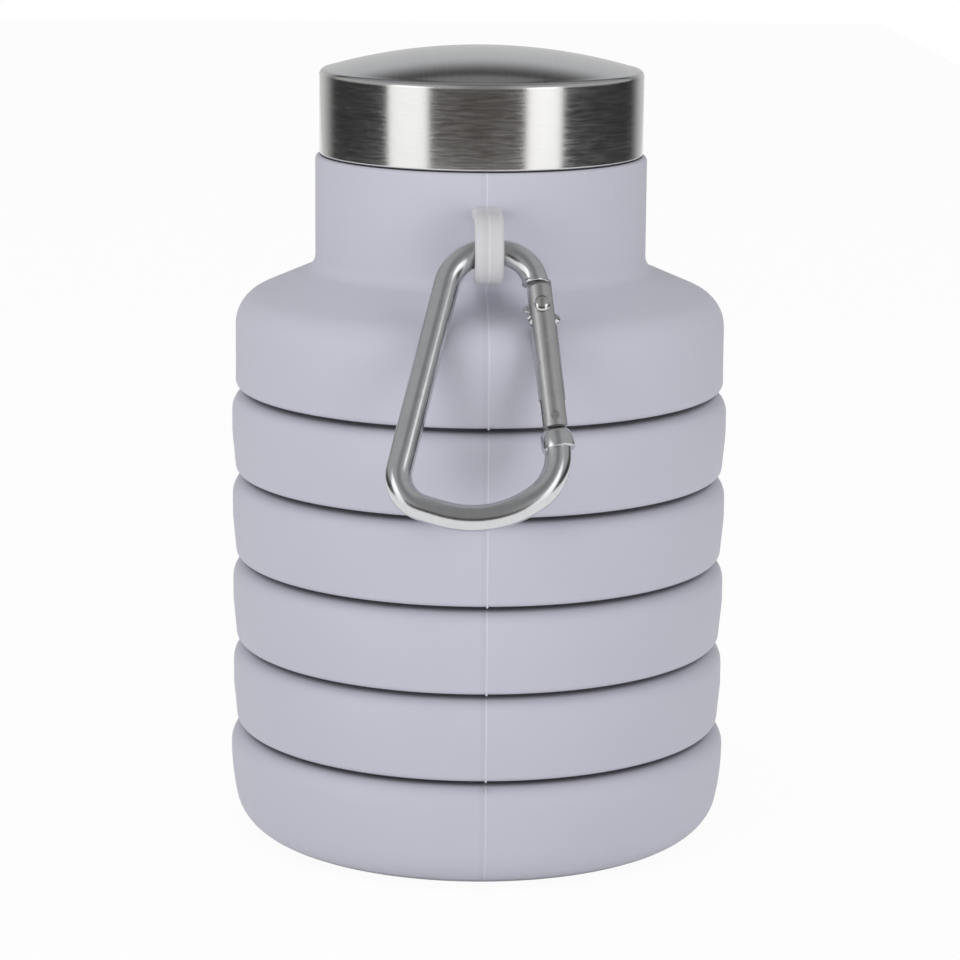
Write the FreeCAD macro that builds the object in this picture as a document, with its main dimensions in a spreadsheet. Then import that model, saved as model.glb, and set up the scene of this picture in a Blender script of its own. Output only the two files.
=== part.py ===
import FreeCAD, Part
import Sketcher
import math
import os

doc = FreeCAD.newDocument("FoldingBottle")
V = FreeCAD.Vector

# ---------------------------------------------------------------- driving dimensions (mm)
SIZES = [
    ("body_radius", 37.1, "widest radius of the four middle bands"),
    ("base_flare", 0.4, "the base cup stands this much wider than the bands"),
    ("shoulder_draw", 0.6, "the shoulder band is this much narrower than the bands"),
    ("lip_draw", 0.55, "bands draw in by this at their lower lip"),
    ("wall", 2.0, "wall of the bands"),
    ("lip_shelf", 1.2, "ledge inside the lower lip, where a web starts"),
    ("first_lip", 16.5, "height of the lowest band's lower lip, folded"),
    ("pitch", 12.87, "height of one folded band"),
    ("fold_gap", 0.6, "slit between two folded bands"),
    ("belly_height", 6.0, "widest line of a band above its lip"),
    ("belly_round", 12.0, "round of a band's face"),
    ("top_round", 3.0, "rounding of a band's top edge"),
    ("top_thick", 2.4, "thickness under a band's top edge"),
    ("inside_round", 1.0, "round under a band's top edge, inside"),
    ("lip_round", 1.0, "rounding of a band's lower lip"),
    ("lip_thick", 1.0, "thickness of the lower lip"),
    ("cone_inset", 3.8, "foot of the rigid cone inside a band's face"),
    ("cone_draw", 3.3, "the cone narrows by this up to the waist"),
    ("cone_rise", 8.0, "height of the rigid cone"),
    ("cone_wall", 1.3, "radial thickness of the cone"),
    ("web_gap", 0.3, "room between a folded web and the band's wall"),
    ("web_cap", 1.2, "thickness of the web over the waist"),
    ("web_bulge", 1.5, "width of the web's bend round the waist"),
    ("foot_pad", 12.0, "radius of the flat pad under the base"),
    ("foot_inner", 18.0, "inner radius of the foot ring"),
    ("foot_rise", 0.8, "depth of the ring groove under the base"),
    ("foot_inset", 6.9, "edge of the flat foot inside the base's flank"),
    ("foot_round", 6.4, "lower round of the base"),
    ("knee_inset", 0.75, "where the lower round ends, inside the flank"),
    ("knee_height", 5.3, "height where the lower round ends"),
    ("flank_height", 12.8, "height where the base's flank turns upright"),
    ("flank_round", 38.0, "round of the base's flank"),
    ("floor_thick", 2.5, "floor of the base"),
    ("cup_inset", 5.4, "edge of the inner floor inside the wall"),
    ("cup_round", 4.8, "inner round of the base"),
    ("cup_knee_inset", 0.7, "where the inner round ends, inside the wall"),
    ("cup_knee_rise", 4.4, "height above the floor where the inner round ends"),
    ("cup_rise", 9.0, "height above the floor where the inner wall turns upright"),
    ("cup_flank_round", 15.5, "round of the inner wall"),
    ("shoulder_belly", 4.5, "widest line of the shoulder band above its lip"),
    ("shoulder_rise", 12.9, "corner of the shoulder above its lip"),
    ("shoulder_round", 5.5, "round of the shoulder"),
    ("shoulder_skin", 2.4, "upright thickness of the slope"),
    ("ceiling_round", 3.9, "round between the slope and the wall, inside"),
    ("slope_rise", 5.16, "rise of the slope up to the neck"),
    ("neck_radius", 24.6, "outside of the silicone neck"),
    ("neck_fillet", 2.5, "fillet at the foot of the neck"),
    ("neck_height", 16.07, "silicone neck above the slope"),
    ("neck_edge", 1.0, "rounding of the neck's top edge"),
    ("neck_wall", 3.1, "silicone round the collar"),
    ("ledge_round", 1.5, "round under the collar's ledge"),
    ("collar_wall", 2.3, "wall of the collar inside the neck"),
    ("collar_length", 13.6, "collar inside the silicone neck"),
    ("rib_proud", 1.4, "locking ribs stand out of the collar"),
    ("rib_height", 1.4, "height of a locking rib"),
    ("rib_first", 2.8, "first locking rib above the collar's foot"),
    ("rib_step", 5.2, "distance between the locking ribs"),
    ("flange_lap", 1.8, "flange over the top of the neck"),
    ("flange_thick", 0.4, "thickness of the flange"),
    ("rim_rise", 9.8, "drinking rim above the neck"),
    ("rim_round", 0.45, "rounding of the drinking rim"),
    ("thread_relief", 0.7, "root of the collar's thread inside the collar"),
    ("thread_deep", 1.2, "depth of either thread"),
    ("thread_clear", 0.5, "room between the two threads"),
    ("thread_sunk", 0.2, "foot of a thread inside its wall"),
    ("thread_pitch", 4.0, "rise in one turn"),
    ("thread_width", 1.6, "width of a thread at its root"),
    ("thread_crest", 0.9, "width of a thread at its crest"),
    ("thread_rise", 2.4, "lower start of the collar's thread above the neck"),
    ("gasket_lap", 0.3, "the gasket reaches inside the rim by this"),
    ("gasket_room", 0.3, "room round the gasket"),
    ("gasket_thick", 1.4, "thickness of the lid gasket"),
    ("plug_clear", 0.7, "room between the liner's plug and the mouth"),
    ("plug_wall", 1.1, "wall of the liner's plug"),
    ("plug_drop", 0.6, "the plug reaches below the rim by this"),
    ("liner_wall", 0.8, "wall of the lid liner"),
    ("liner_plate", 1.0, "top plate of the lid liner"),
    ("liner_edge", 0.8, "rounding of the liner's top edge"),
    ("cap_gap", 0.8, "dark slit between the neck and the steel lid"),
    ("cap_clear", 0.2, "room between the liner and the steel lid"),
    ("cap_skin", 0.5, "sheet thickness of the lid"),
    ("cap_round", 1.0, "rounding of the lid's top edge"),
    ("dome_rise", 3.7, "rise of the dome over the lid's edge"),
    ("hem_width", 0.75, "width of the rolled hem"),
    ("hem_high", 0.5, "height of the rolled hem"),
    ("hem_room", 0.1, "room between the hem and the liner"),
    ("loop_width", 4.05, "width of the loop"),
    ("loop_band", 1.95, "thickness of the loop"),
    ("loop_room", 1.25, "room round the hook's rod in the loop"),
    ("loop_stand", 5.7, "centre of the loop's hole in front of the neck"),
    ("loop_drop", 9.4, "centre of the loop's hole below the neck's top"),
    ("loop_soft", 0.7, "edge rounding of the loop"),
    ("rod", 3.7, "diameter of the hook's rod"),
    ("rod_rest_out", 0.4, "the rod rests this far in front of the hole's centre"),
    ("rod_rest_down", 0.1, "the rod rests this far below the hole's centre"),
    ("pivot_side", 7.3, "gate rivet beside the hanging point"),
    ("pivot_drop", 8.75, "gate rivet below the hanging point"),
    ("gate_rod", 3.75, "diameter of the gate"),
    ("gate_below", 17.8, "gate length below the rivet"),
    ("gate_above", 3.1, "round end of the gate above the rivet"),
    ("gate_clear", 0.35, "slit at either end of the gate"),
    ("stem_rise", 4.6, "corner of the bow above the gate's upper slit"),
    ("stem_side", 0.42, "the bow's end stands this far inside the gate's middle line"),
    ("bow_wide", 10.8, "distance between the bow's two corners"),
    ("bow_tilt", 0.784, "the far corner of the bow is this much higher"),
    ("bow_near", 5.2, "bend of the bow on the gate's side"),
    ("bow_far", 6.2, "bend of the bow on the spine's side"),
    ("heel_drop", 5.0, "corner of the rod below the nose"),
    ("heel_round", 7.5, "bend below the nose"),
    ("toe_wide", 9.45, "lowest corner beside the corner below the nose"),
    ("toe_drop", 6.59, "lowest corner below the corner below the nose"),
    ("toe_round", 14.5, "bend at the bottom"),
    ("spine_wide", 13.5, "corner at the foot of the spine beside the lowest corner"),
    ("spine_rise", 4.34, "corner at the foot of the spine above the lowest corner"),
    ("spine_round", 4.8, "bend at the foot of the spine"),
    ("tongue_thick", 1.3, "tongues of the frame in the gate's slots"),
    ("slot_clear", 0.6, "room for a tongue in its slot"),
    ("tongue_inset", 0.3, "the hinge tongue is this much narrower than the rod"),
    ("tongue_drop", 2.2, "hinge tongue below the rivet"),
    ("tongue_room", 0.8, "room below the hinge tongue"),
    ("tongue_root", 0.6, "root of a tongue inside the rod"),
    ("rivet_shaft", 1.4, "diameter of the rivet"),
    ("rivet_lip", 0.9, "the rivet's heads are this much wider"),
    ("rivet_proud", 0.5, "height of the rivet's heads"),
    ("rivet_sink", 0.2, "depth of the seats of the rivet's heads"),
    ("pin_shaft", 1.2, "diameter of the latch pin"),
    ("pin_edge", 1.4, "latch pin above the gate's lower end"),
    ("turn_clear", 0.3, "clearance round the rivet and the latch pin"),
    ("catch_wide", 2.6, "width of the catch tongue"),
    ("catch_side", 0.1, "the catch tongue stands off the gate's middle"),
    ("catch_high", 3.6, "catch tongue above the nose"),
    ("bore_drill", 2.3, "spring bore in the gate"),
    ("bore_depth", 9.0, "depth of the spring bore below the slot"),
    ("bore_clear", 0.6, "room round the plunger"),
    ("plunger_step", 0.5, "the plunger's nose is this much thinner"),
    ("plunger_nose_long", 1.2, "length of the plunger's nose"),
    ("plunger_long", 2.8, "length of the plunger"),
    ("plunger_gap", 0.2, "slit between the tongue and the plunger"),
    ("spring_wire", 0.3, "wire of the gate spring"),
    ("spring_room", 0.64, "room round the gate spring"),
    ("nose_collar", 0.1, "the nose starts this much wider than the rod"),
    ("nose_flare", 0.55, "the flared nose is this much wider than the rod"),
    ("nose_high", 2.55, "height of the flared nose"),
]
sheet = doc.addObject("Spreadsheet::Sheet", "Sizes")
for line, (alias, value, note) in enumerate(SIZES, start=1):
    sheet.set("A%d" % line, note)
    sheet.set("B%d" % line, str(value))
    sheet.setAlias("B%d" % line, alias)
doc.recompute()


class Dim:
    """A length that carries its number and the spreadsheet formula behind it."""

    def __init__(self, value, text):
        self.value = value
        self.text = text

    def __add__(self, other):
        other = dim(other)
        return Dim(self.value + other.value, "(%s + %s)" % (self.text, other.text))

    def __sub__(self, other):
        other = dim(other)
        return Dim(self.value - other.value, "(%s - %s)" % (self.text, other.text))

    def __mul__(self, other):
        other = dim(other)
        return Dim(self.value * other.value, "(%s * %s)" % (self.text, other.text))

    def __rmul__(self, other):
        return self * other

    def __truediv__(self, other):
        other = dim(other)
        return Dim(self.value / other.value, "(%s / %s)" % (self.text, other.text))

    def __neg__(self):
        return Dim(-self.value, "(0 - %s)" % self.text)


def dim(number):
    """A Dim made from a plain number, or the Dim itself."""
    if isinstance(number, Dim):
        return number
    return Dim(float(number), "%.6f" % number if number >= 0 else "(0 - %.6f)" % -number)


class Sizes:
    pass


S = Sizes()
for alias, value, note in SIZES:
    setattr(S, alias, Dim(value, "Sizes." + alias))


# ---------------------------------------------------------------- helpers
def new_body(label):
    body = doc.addObject("PartDesign::Body", label)
    body.Label = label
    return body


def origin_plane(body, role):
    return next(f for f in body.Origin.OriginFeatures if f.Role == role)


def new_sketch(body, label, plane="XZ_Plane"):
    sketch = body.newObject("Sketcher::SketchObject", label)
    sketch.AttachmentSupport = [(origin_plane(body, plane), "")]
    sketch.MapMode = "FlatFace"
    return sketch


def bind(item, prop, length):
    """Set one size and tie it to the spreadsheet."""
    setattr(item, prop, length.value)
    item.setExpression(prop, length.text)


def pin_vertex(sketch, geo, pos, x, y):
    """Hold one vertex at (x, y) by formulas."""
    for kind, length, axis in (("DistanceX", x, -2), ("DistanceY", y, -1)):
        if abs(length.value) < 1e-9:
            sketch.addConstraint(Sketcher.Constraint("PointOnObject", geo, pos, axis))
        else:
            index = sketch.addConstraint(
                Sketcher.Constraint(kind, -1, 1, geo, pos, length.value))
            sketch.setExpression("Constraints[%d]" % index, length.text)


def tie_radius(sketch, geo, radius):
    index = sketch.addConstraint(Sketcher.Constraint("Radius", geo, radius.value))
    sketch.setExpression("Constraints[%d]" % index, radius.text)


def arc_between(start, end, radius, turn):
    """Arc geometry from start to end; turn +1 is anticlockwise."""
    middle = (start + end) * 0.5
    half = (end - start).Length / 2
    across = V(-(end - start).y, (end - start).x, 0).normalize()
    centre = middle + across * (turn * math.sqrt(max(radius * radius - half * half, 0)))
    first, last = (start, end) if turn > 0 else (end, start)
    a1 = math.atan2(first.y - centre.y, first.x - centre.x)
    a2 = math.atan2(last.y - centre.y, last.x - centre.x)
    if a2 < a1:
        a2 += 2 * math.pi
    return Part.ArcOfCircle(Part.Circle(centre, V(0, 0, 1), radius), a1, a2)


def outline(sketch, steps, closed=True):
    """Fully tied profile. A step is (x, y), (x, y, corner radius) for a rounded corner,
    or (x, y, radius, turn) for an arc that arrives at the vertex."""
    steps = [tuple(dim(v) for v in s[:3]) + tuple(s[3:]) for s in steps]
    count = len(steps)
    at = [V(s[0].value, s[1].value, 0) for s in steps]
    enter = list(at)
    leave = list(at)
    turns = [0] * count
    for i, step in enumerate(steps):
        if len(step) != 3:
            continue
        back = (at[i - 1] - at[i]).normalize()
        ahead = (at[(i + 1) % count] - at[i]).normalize()
        run = step[2].value / math.tan(back.getAngle(ahead) / 2)
        enter[i] = at[i] + back * run
        leave[i] = at[i] + ahead * run
        turns[i] = 1 if (-back).cross(ahead).z > 0 else -1
    pieces = {}
    edges = []
    for i in range(count if closed else count - 1):
        j = (i + 1) % count
        if len(steps[j]) == 4:
            turn = steps[j][3]
            geo = sketch.addGeometry(
                arc_between(leave[i], enter[j], steps[j][2].value, turn), False)
            tie_radius(sketch, geo, steps[j][2])
            edges.append((geo, 1 if turn > 0 else 2, 2 if turn > 0 else 1))
        else:
            geo = sketch.addGeometry(Part.LineSegment(leave[i], enter[j]), False)
            edges.append((geo, 1, 2))
    for i, step in enumerate(steps):
        before = edges[i - 1] if (closed or i > 0) else None
        after = edges[i] if i < len(edges) else None
        if len(step) == 3:
            turn = turns[i]
            geo = sketch.addGeometry(
                arc_between(enter[i], leave[i], step[2].value, turn), False)
            start, end = (1, 2) if turn > 0 else (2, 1)
            corner = sketch.addGeometry(Part.Point(at[i]), True)
            pin_vertex(sketch, corner, 1, step[0], step[1])
            sketch.addConstraint(Sketcher.Constraint("PointOnObject", corner, 1, before[0]))
            sketch.addConstraint(Sketcher.Constraint("PointOnObject", corner, 1, after[0]))
            sketch.addConstraint(
                Sketcher.Constraint("Tangent", before[0], before[2], geo, start))
            sketch.addConstraint(
                Sketcher.Constraint("Tangent", geo, end, after[0], after[1]))
            tie_radius(sketch, geo, step[2])
        elif before and after:
            sketch.addConstraint(
                Sketcher.Constraint("Coincident", before[0], before[2], after[0], after[1]))
            pin_vertex(sketch, after[0], after[1], step[0], step[1])
        elif after:
            pin_vertex(sketch, after[0], after[1], step[0], step[1])
        else:
            pin_vertex(sketch, before[0], before[2], step[0], step[1])
    pieces["edges"] = edges
    return pieces


def revolve(body, label, steps):
    """A full turn of a profile about the bottle's axis."""
    sketch = new_sketch(body, label + "_profile")
    outline(sketch, steps)
    turn = body.newObject("PartDesign::Revolution", label + "_turn")
    turn.Profile = sketch
    turn.ReferenceAxis = (sketch, ["V_Axis"])
    turn.Angle = 360
    sketch.Visibility = False
    body.Tip = turn
    return turn


def helix(body, label, steps, height):
    """Adds a right-hand thread of the given profile and height."""
    sketch = new_sketch(body, label + "_profile")
    outline(sketch, steps)
    thread = body.newObject("PartDesign::AdditiveHelix", label)
    thread.Profile = sketch
    thread.ReferenceAxis = (sketch, ["V_Axis"])
    thread.Mode = 0
    bind(thread, "Pitch", S.thread_pitch)
    bind(thread, "Height", height)
    thread.LeftHanded = False
    sketch.Visibility = False
    body.Tip = thread
    return thread


# ---------------------------------------------------------------- silicone body
base_radius = S.body_radius + S.base_flare
shoulder_radius = S.body_radius - S.shoulder_draw
lip_radius = S.body_radius - S.lip_draw
wall_inside = S.body_radius - S.wall
lip_inside = wall_inside - S.lip_shelf
cone_foot = S.body_radius - S.cone_inset
waist_radius = cone_foot - S.cone_draw
waist_inside = waist_radius - S.cone_wall


# Each band carries, on its top edge, a rigid cone that leads in to the fold's waist.
def band_top(top):
    """Profile from a band's top edge over its cone and back to the inner wall."""
    waist = top + S.cone_rise
    return [
        (cone_foot, top),
        (waist_radius, waist),
        (waist_inside, waist),
        (cone_foot - S.cone_wall, top),
        (wall_inside, top - S.top_thick, S.inside_round),
    ]


def band_lip(lip):
    """Profile of a lower lip, from the inner wall out to the face."""
    return [
        (wall_inside, lip + S.lip_thick),
        (lip_inside, lip + S.lip_thick),
        (lip_inside, lip),
        (lip_radius, lip, S.lip_round),
    ]


base_top = S.first_lip - S.fold_gap
floor = S.foot_rise + S.floor_thick
base = new_body("base_cup")
revolve(base, "base", [
    (0, 0),
    (S.foot_pad, 0),
    (S.foot_pad + S.foot_rise, S.foot_rise),
    (S.foot_inner, S.foot_rise),
    (S.foot_inner + S.foot_rise, 0),
    (base_radius - S.foot_inset, 0),
    (base_radius - S.knee_inset, S.knee_height, S.foot_round, 1),
    (base_radius, S.flank_height, S.flank_round, 1),
    (base_radius, base_top, S.top_round),
] + band_top(base_top) + [
    (wall_inside, floor + S.cup_rise),
    (wall_inside - S.cup_knee_inset, floor + S.cup_knee_rise, S.cup_flank_round, -1),
    (wall_inside - S.cup_inset, floor, S.cup_round, -1),
    (0, floor),
])

BANDS = 4
for number in range(BANDS, 0, -1):
    lip = S.first_lip + S.pitch * (BANDS - number)
    top = lip + S.pitch - S.fold_gap
    band = new_body("band_%d" % number)
    revolve(band, "band_%d" % number, band_lip(lip) + [
        (S.body_radius, lip + S.belly_height, S.belly_round),
        (S.body_radius, top, S.top_round),
    ] + band_top(top))

# Shoulder band, slope and neck in one moulding; the collar sits on a ledge in the neck.
lip = S.first_lip + S.pitch * BANDS
shoulder_edge = lip + S.shoulder_rise
neck_foot = shoulder_edge + S.slope_rise
neck_top = neck_foot + S.neck_height
slope = S.slope_rise / (shoulder_radius - S.neck_radius)
collar_radius = S.neck_radius - S.neck_wall
collar_foot = neck_top - S.collar_length
mouth_radius = collar_radius - S.collar_wall


def slope_inside(radius):
    """Height of the slope's inner face at a radius."""
    return shoulder_edge + (shoulder_radius - radius) * slope - S.shoulder_skin


# The collar's locking ribs, which are grooves in the neck.
ribs = []
for count in range(2):
    rib = collar_foot + S.rib_first + S.rib_step * count
    ribs += [
        (collar_radius, rib),
        (collar_radius + S.rib_proud, rib),
        (collar_radius + S.rib_proud, rib + S.rib_height),
        (collar_radius, rib + S.rib_height),
    ]
shoulder = new_body("shoulder")
revolve(shoulder, "shoulder", band_lip(lip) + [
    (shoulder_radius, lip + S.shoulder_belly, S.belly_round),
    (shoulder_radius, shoulder_edge, S.shoulder_round),
    (S.neck_radius, neck_foot, S.neck_fillet),
    (S.neck_radius, neck_top, S.neck_edge),
    (collar_radius, neck_top),
] + ribs[::-1] + [
    (collar_radius, collar_foot),
    (mouth_radius, collar_foot),
    (mouth_radius, slope_inside(mouth_radius), S.ledge_round),
    (wall_inside, slope_inside(wall_inside), S.ceiling_round),
])

# Folding webs: each hangs over the waist below it and runs down to the lip above the fold.
for number in range(1, BANDS + 2):
    lip = S.first_lip + S.pitch * (BANDS + 1 - number)
    waist = lip - S.fold_gap + S.cone_rise
    web = new_body("fold_web_%d" % number)
    revolve(web, "fold_web_%d" % number, [
        (lip_inside, lip + S.lip_thick),
        (wall_inside - S.web_gap, lip + S.lip_thick),
        (waist_radius + S.web_bulge, waist - S.web_cap / 6, S.web_cap * 0.8),
        (waist_radius + S.web_bulge / 5, waist + S.web_cap, S.web_cap * 0.65),
        (waist_inside, waist + S.web_cap, S.web_cap * 0.4),
        (waist_inside, waist),
        (waist_radius, waist),
    ])

# ---------------------------------------------------------------- neck collar and lid
rim_top = neck_top + S.rim_rise
male_root = collar_radius - S.thread_relief
collar = new_body("neck_collar")
revolve(collar, "collar", [
    (mouth_radius, collar_foot),
    (collar_radius, collar_foot),
] + ribs + [
    (collar_radius, neck_top),
    (collar_radius + S.flange_lap, neck_top),
    (collar_radius + S.flange_lap, neck_top + S.flange_thick),
    (male_root, neck_top + S.flange_thick),
    (male_root, rim_top, S.rim_round),
    (mouth_radius, rim_top, S.rim_round),
])
root = male_root - S.thread_sunk
crest = male_root + S.thread_deep
start = neck_top + S.thread_rise
helix(collar, "collar_thread", [
    (root, start - S.thread_width / 2),
    (crest, start - S.thread_crest / 2),
    (crest, start + S.thread_crest / 2),
    (root, start + S.thread_width / 2),
], S.thread_pitch * 1.4)

female_root = crest + S.thread_clear
female_crest = male_root + S.thread_clear
gasket_top = rim_top + S.gasket_thick
gasket = new_body("lid_gasket")
revolve(gasket, "gasket", [
    (mouth_radius - S.gasket_lap, rim_top),
    (female_root - S.gasket_room, rim_top),
    (female_root - S.gasket_room, gasket_top),
    (mouth_radius - S.gasket_lap, gasket_top),
])

cap_foot = neck_top + S.cap_gap
liner_foot = cap_foot + S.hem_high + S.hem_room
liner_top = gasket_top + S.liner_plate
liner_radius = female_root + S.liner_wall
plug_outside = mouth_radius - S.plug_clear
liner = new_body("lid_liner")
revolve(liner, "liner", [
    (0, gasket_top),
    (plug_outside - S.plug_wall, gasket_top),
    (plug_outside - S.plug_wall, rim_top - S.plug_drop),
    (plug_outside, rim_top - S.plug_drop),
    (plug_outside, gasket_top),
    (female_root, gasket_top),
    (female_root, liner_foot),
    (liner_radius, liner_foot),
    (liner_radius, liner_top, S.liner_edge),
    (0, liner_top),
])
root = female_root + S.thread_sunk
start = start + S.thread_pitch / 2
helix(liner, "liner_thread", [
    (root, start + S.thread_width / 2),
    (female_crest, start + S.thread_crest / 2),
    (female_crest, start - S.thread_crest / 2),
    (root, start - S.thread_width / 2),
], S.thread_pitch * 1.15)

# Steel shell: a drawn cap with a rolled hem at its lower edge.
cap_inside = liner_radius + S.cap_clear
cap_radius = cap_inside + S.cap_skin
cap_edge = liner_top + S.cap_skin
cap_top = cap_edge + S.dome_rise
edge_out = cap_radius - S.cap_round
edge_in = edge_out - S.cap_skin / 10


def dome(edge):
    """Radius of a dome of that edge radius whose centre lies on the axis."""
    return (edge * edge + S.dome_rise * S.dome_rise) / (S.dome_rise * 2)


shell = new_body("lid_shell")
revolve(shell, "shell", [
    (0, cap_top),
    (edge_out, cap_edge, dome(edge_out), -1),
    (cap_radius, cap_edge - S.cap_round, S.cap_round, -1),
    (cap_radius, cap_foot, S.hem_high * 0.7),
    (cap_radius - S.hem_width, cap_foot, S.hem_high * 0.6),
    (cap_radius - S.hem_width, cap_foot + S.hem_high),
    (cap_inside, cap_foot + S.hem_high),
    (cap_inside, cap_edge - S.cap_round),
    (edge_in, cap_edge - S.cap_skin, S.cap_round - S.cap_skin, 1),
    (0, cap_top - S.cap_skin, dome(edge_in), 1),
])

# ---------------------------------------------------------------- loop on the neck
loop_hole = S.rod / 2 + S.loop_room
loop_outer = loop_hole + S.loop_band
loop_reach = S.neck_radius + S.loop_stand
loop_height = neck_top - S.loop_drop
loop_tail = S.neck_radius - S.loop_band
loop = new_body("loop_blank")
sketch = new_sketch(loop, "loop_side", "YZ_Plane")
outline(sketch, [
    (-loop_tail, loop_height - loop_outer),
    (-loop_tail, loop_height - loop_hole),
    (-loop_reach, loop_height - loop_hole),
    (-loop_reach - loop_hole, loop_height, loop_hole, -1),
    (-loop_reach, loop_height + loop_hole, loop_hole, -1),
    (-loop_tail, loop_height + loop_hole),
    (-loop_tail, loop_height + loop_outer),
    (-loop_reach, loop_height + loop_outer),
    (-loop_reach - loop_outer, loop_height, loop_outer, 1),
    (-loop_reach, loop_height - loop_outer, loop_outer, 1),
])
pad = loop.newObject("PartDesign::Pad", "loop_pad")
pad.Profile = sketch
pad.Midplane = True
bind(pad, "Length", S.loop_width)
doc.recompute()
rims = []
for index, edge in enumerate(pad.Shape.Edges, start=1):
    box = edge.BoundBox
    if box.XLength < 1e-6 and box.YMin < -loop_tail.value - 1e-3:
        rims.append("Edge%d" % index)
soft = loop.newObject("PartDesign::Fillet", "loop_soft")
soft.Base = (pad, rims)
bind(soft, "Radius", S.loop_soft)
loop.Tip = soft
neck_tool = doc.addObject("Part::Cylinder", "neck_tool")
bind(neck_tool, "Radius", S.neck_radius)
bind(neck_tool, "Height", S.neck_height * 2)
neck_tool.Placement.Base = V(0, 0, loop_height.value - S.neck_height.value)
eyelet = doc.addObject("Part::Cut", "carabiner_loop")
eyelet.Base = loop
eyelet.Tool = neck_tool

# ---------------------------------------------------------------- carabiner
# The hook is drawn upright in its own plane and then leans out over the shoulder. Its gate lies
# on a line through the rivet, which slants away from the loop.
LEAN = 29.5
SLANT = 5.3
slant_side = math.sin(math.radians(SLANT))
slant_down = math.cos(math.radians(SLANT))
hang = V(0, -(loop_reach + S.rod_rest_out).value, (loop_height - S.rod_rest_down).value)
pivot = V(S.pivot_side.value, 0, -S.pivot_drop.value)
hook_frame = FreeCAD.Placement(hang, FreeCAD.Rotation(V(1, 0, 0), -LEAN))
gate_frame = hook_frame * FreeCAD.Placement(pivot, FreeCAD.Rotation(V(0, 1, 0), -SLANT))


def spot(frame, x, y, z, axis=None, angle=0.0):
    """A placement inside a frame."""
    turn = FreeCAD.Rotation(axis, angle) if axis else FreeCAD.Rotation()
    at = V(dim(x).value, dim(y).value, dim(z).value)
    return frame * FreeCAD.Placement(at, turn)


def block(label, frame, x, y, z, wide, deep, high):
    """A box centred on x and y, standing on z."""
    item = doc.addObject("Part::Box", label)
    bind(item, "Length", dim(wide))
    bind(item, "Width", dim(deep))
    bind(item, "Height", dim(high))
    item.Placement = spot(frame, dim(x) - dim(wide) / 2, dim(y) - dim(deep) / 2, z)
    return item


def rod(label, frame, x, y, z, diameter, high, across=False):
    """A cylinder along the frame's z, or centred across it along y."""
    item = doc.addObject("Part::Cylinder", label)
    bind(item, "Radius", dim(diameter) / 2)
    bind(item, "Height", dim(high))
    if across:
        item.Placement = spot(frame, x, dim(y) + dim(high) / 2, z, V(1, 0, 0), 90)
    else:
        item.Placement = spot(frame, x, y, z)
    return item


def fuse(label, parts):
    item = doc.addObject("Part::MultiFuse", label)
    item.Shapes = parts
    return item


def cut(label, base_item, tools):
    tool = tools[0] if len(tools) == 1 else fuse(label + "_tools", tools)
    item = doc.addObject("Part::Cut", label)
    item.Base = base_item
    item.Tool = tool
    return item


def on_gate_line(below):
    """Side and height of a point on the gate's line, that far below the rivet."""
    return S.pivot_side + below * slant_side, -S.pivot_drop - below * slant_down


# Bent rod of the frame, from the nose round the bottom and up over the bow.
nose_top = S.gate_below + S.gate_clear
stem_end = S.gate_above + S.gate_clear
nose_side, nose_low = on_gate_line(nose_top + S.nose_high)
heel_low = nose_low - S.heel_drop
toe_side = nose_side - S.toe_wide
toe_low = heel_low - S.toe_drop
bow_side, bow_high = on_gate_line(-stem_end - S.stem_rise)
bow_side = bow_side - S.stem_side
stem_at, stem_low = on_gate_line(-stem_end)
bend = new_body("frame_rod")
path = new_sketch(bend, "frame_path")
outline(path, [
    (nose_side, nose_low),
    (nose_side, heel_low, S.heel_round),
    (toe_side, toe_low, S.toe_round),
    (toe_side - S.spine_wide, toe_low + S.spine_rise, S.spine_round),
    (bow_side - S.bow_wide, bow_high + S.bow_tilt, S.bow_far),
    (bow_side, bow_high, S.bow_near),
    (stem_at - S.stem_side, stem_low),
], closed=False)
profile = new_sketch(bend, "frame_section", "XY_Plane")
profile.AttachmentOffset = FreeCAD.Placement(V(0, 0, nose_low.value), FreeCAD.Rotation())
geo = profile.addGeometry(
    Part.Circle(V(nose_side.value, 0, 0), V(0, 0, 1), S.rod.value / 2), False)
pin_vertex(profile, geo, 3, nose_side, dim(0))
tie_radius(profile, geo, S.rod / 2)
pipe = bend.newObject("PartDesign::AdditivePipe", "frame_sweep")
pipe.Profile = profile
pipe.Spine = (path, [])
bend.Tip = pipe
bend.Placement = hook_frame

nose = doc.addObject("Part::Cone", "nose_cone")
bind(nose, "Radius1", S.rod / 2 + S.nose_collar)
bind(nose, "Radius2", S.rod / 2 + S.nose_flare)
bind(nose, "Height", S.nose_high)
nose.Placement = spot(gate_frame, 0, 0, -nose_top - S.nose_high)
tongue = block("hinge_tongue", gate_frame, 0, 0, -S.tongue_drop, S.rod - S.tongue_inset,
               S.tongue_thick, S.tongue_drop + stem_end + S.tongue_root)
catch = block("catch_tongue", gate_frame, S.catch_side, 0, -nose_top - S.tongue_root,
              S.catch_wide, S.tongue_thick, S.catch_high + S.tongue_root)
solid = fuse("frame_solid", [bend, nose, tongue, catch])
pin_drop = S.gate_below - S.pin_edge
pin_room = S.pin_shaft + S.turn_clear * 2
through = S.gate_rod * 1.6
frame = cut("hook_frame", solid, [
    rod("hinge_hole", gate_frame, 0, 0, 0, S.rivet_shaft + S.turn_clear * 2, through, True),
    rod("catch_hole", gate_frame, 0, 0, -pin_drop, pin_room, through, True),
    block("catch_mouth", gate_frame, -through / 2, 0, -pin_drop - pin_room / 2, through,
          through, pin_room),
])

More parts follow.
